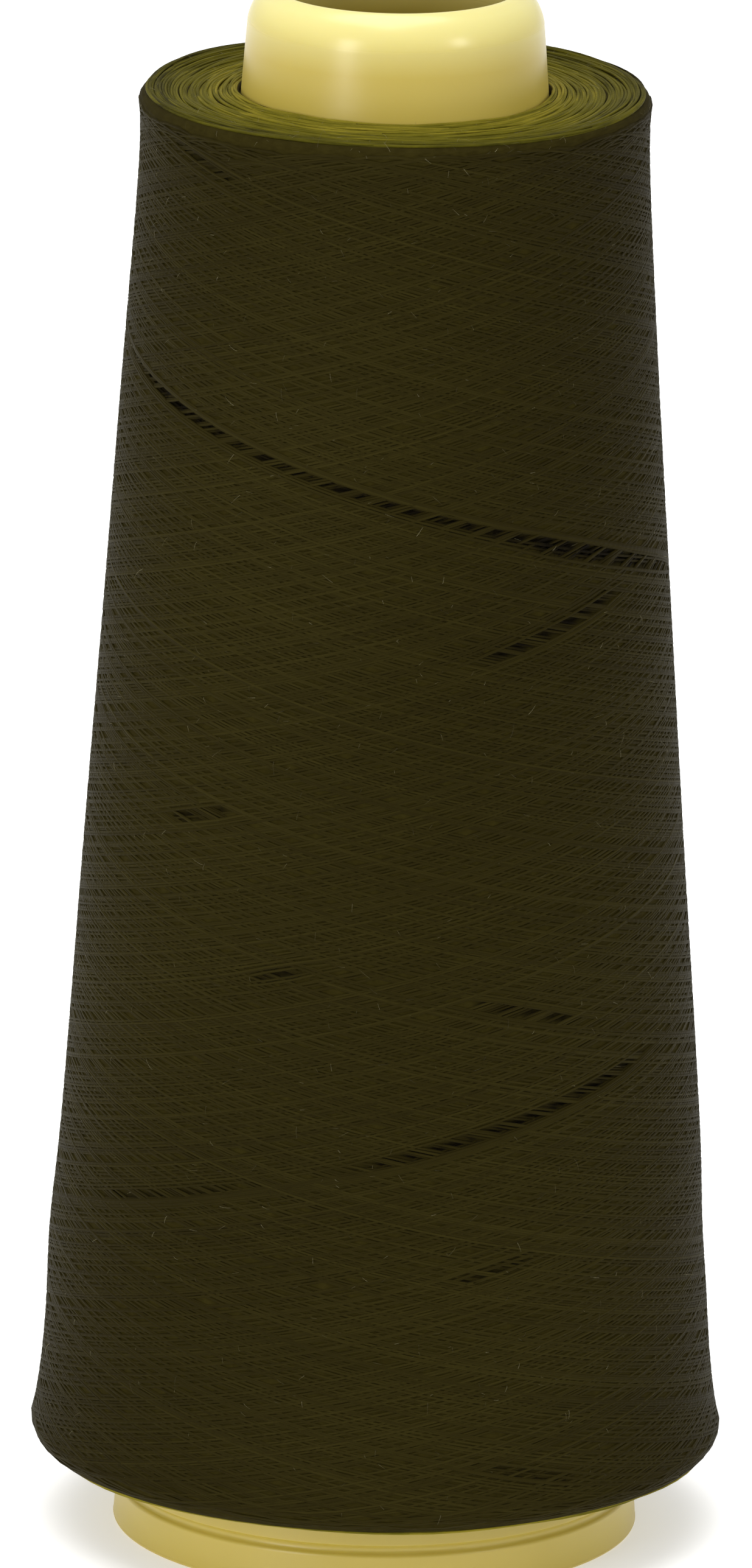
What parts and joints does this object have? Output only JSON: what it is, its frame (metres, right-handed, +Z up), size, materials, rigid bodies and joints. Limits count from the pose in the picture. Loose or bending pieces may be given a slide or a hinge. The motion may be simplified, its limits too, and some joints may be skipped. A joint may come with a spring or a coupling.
{
  "type": "cone of thread",
  "caption": "Tapered package of cross-wound sewing thread on a hollow moulded plastic cone, with an open rounded nose and a flat base ring.",
  "frame": {"origin": "centre of the flat ring that the moulded cone stands on", "axes": "+Z up along the cone's axis, from the wide base to the narrow nose"},
  "size_m": [0.0746, 0.0746, 0.17],
  "materials": {
    "pale_yellow_plastic": "injection-moulded polypropylene, pale yellow, smooth and half glossy, slightly translucent",
    "olive_thread": "spun polyester sewing thread, dark olive, cross-wound, dull with a faint sheen"
  },
  "bodies": {
    "root": {"plastic_cone": "pale_yellow_plastic", "wound_thread": "olive_thread"}
  },
  "joints": []
}
